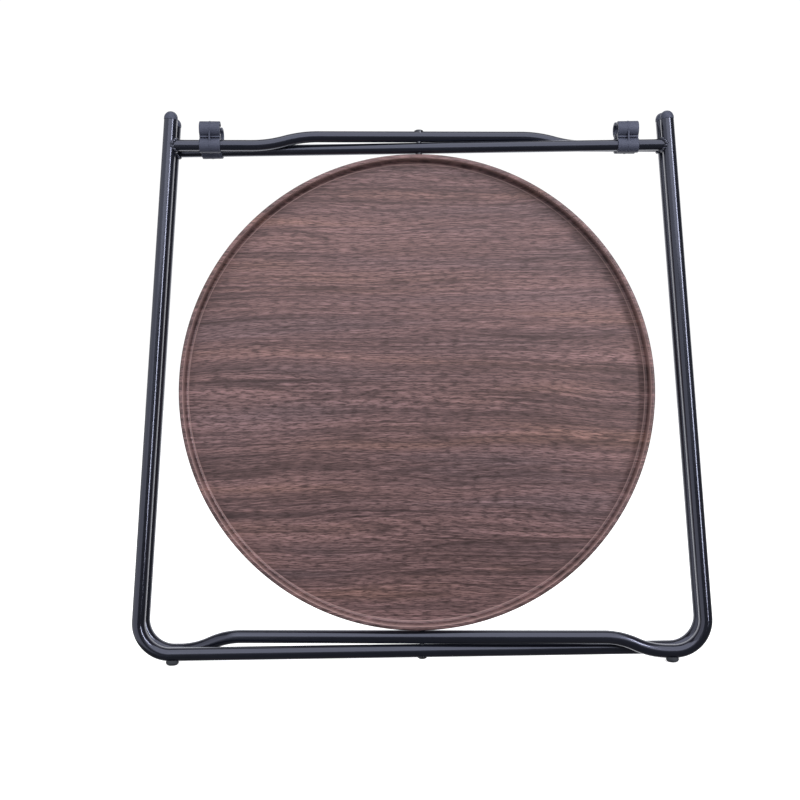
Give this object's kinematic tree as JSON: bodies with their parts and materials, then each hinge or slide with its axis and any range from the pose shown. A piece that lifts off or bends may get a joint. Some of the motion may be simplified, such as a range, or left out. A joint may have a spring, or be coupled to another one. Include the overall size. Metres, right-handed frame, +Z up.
{
  "type": "folding tray table",
  "caption": "Folding tray table: two crossed steel tube frames on vertical pivots, with a round wood-look tray stowed between them.",
  "frame": {"origin": "on the floor, on the vertical pivot axis of the two frames", "axes": "+Z up, +X to the right of the folded table seen from its front, front at -Y"},
  "size_m": [0.5448, 0.0332, 0.52],
  "materials": {
    "frame_coat": "satin black powder coat",
    "black_plastic": "fine textured",
    "foot_rubber": "matte",
    "dark_steel": "black zinc plated",
    "walnut_film": "satin grey-brown walnut grain"
  },
  "bodies": {
    "outer_frame": {"outer_leg_tube": "frame_coat", "outer_crossbar": "frame_coat", "outer_weld_left": "frame_coat", "outer_weld_right": "frame_coat", "outer_cap_left": "black_plastic", "outer_cap_right": "black_plastic", "outer_foot_left": "foot_rubber", "outer_foot_right": "foot_rubber", "outer_clip_left": "black_plastic", "outer_clip_right": "black_plastic", "top_rivet": "dark_steel", "bottom_rivet": "dark_steel"},
    "inner_frame": {"inner_leg_tube": "frame_coat", "inner_crossbar": "frame_coat", "inner_weld_left": "frame_coat", "inner_weld_right": "frame_coat", "inner_cap_left": "black_plastic", "inner_cap_right": "black_plastic", "inner_foot_left": "foot_rubber", "inner_foot_right": "foot_rubber", "inner_clip_left": "black_plastic", "inner_clip_right": "black_plastic"},
    "tray": {"tray": "walnut_film"}
  },
  "joints": [
    {"name": "fold", "type": "hinge", "parent": "outer_frame", "child": "inner_frame", "pos_m": [0, 0, 0], "axis": [0, 0, -1], "range_deg": [0, 85.6]},
    {"name": "tray_out", "type": "slide", "parent": "outer_frame", "child": "tray", "axis": [0, -1, 0], "range_m": [0, 0.3]}
  ]
}
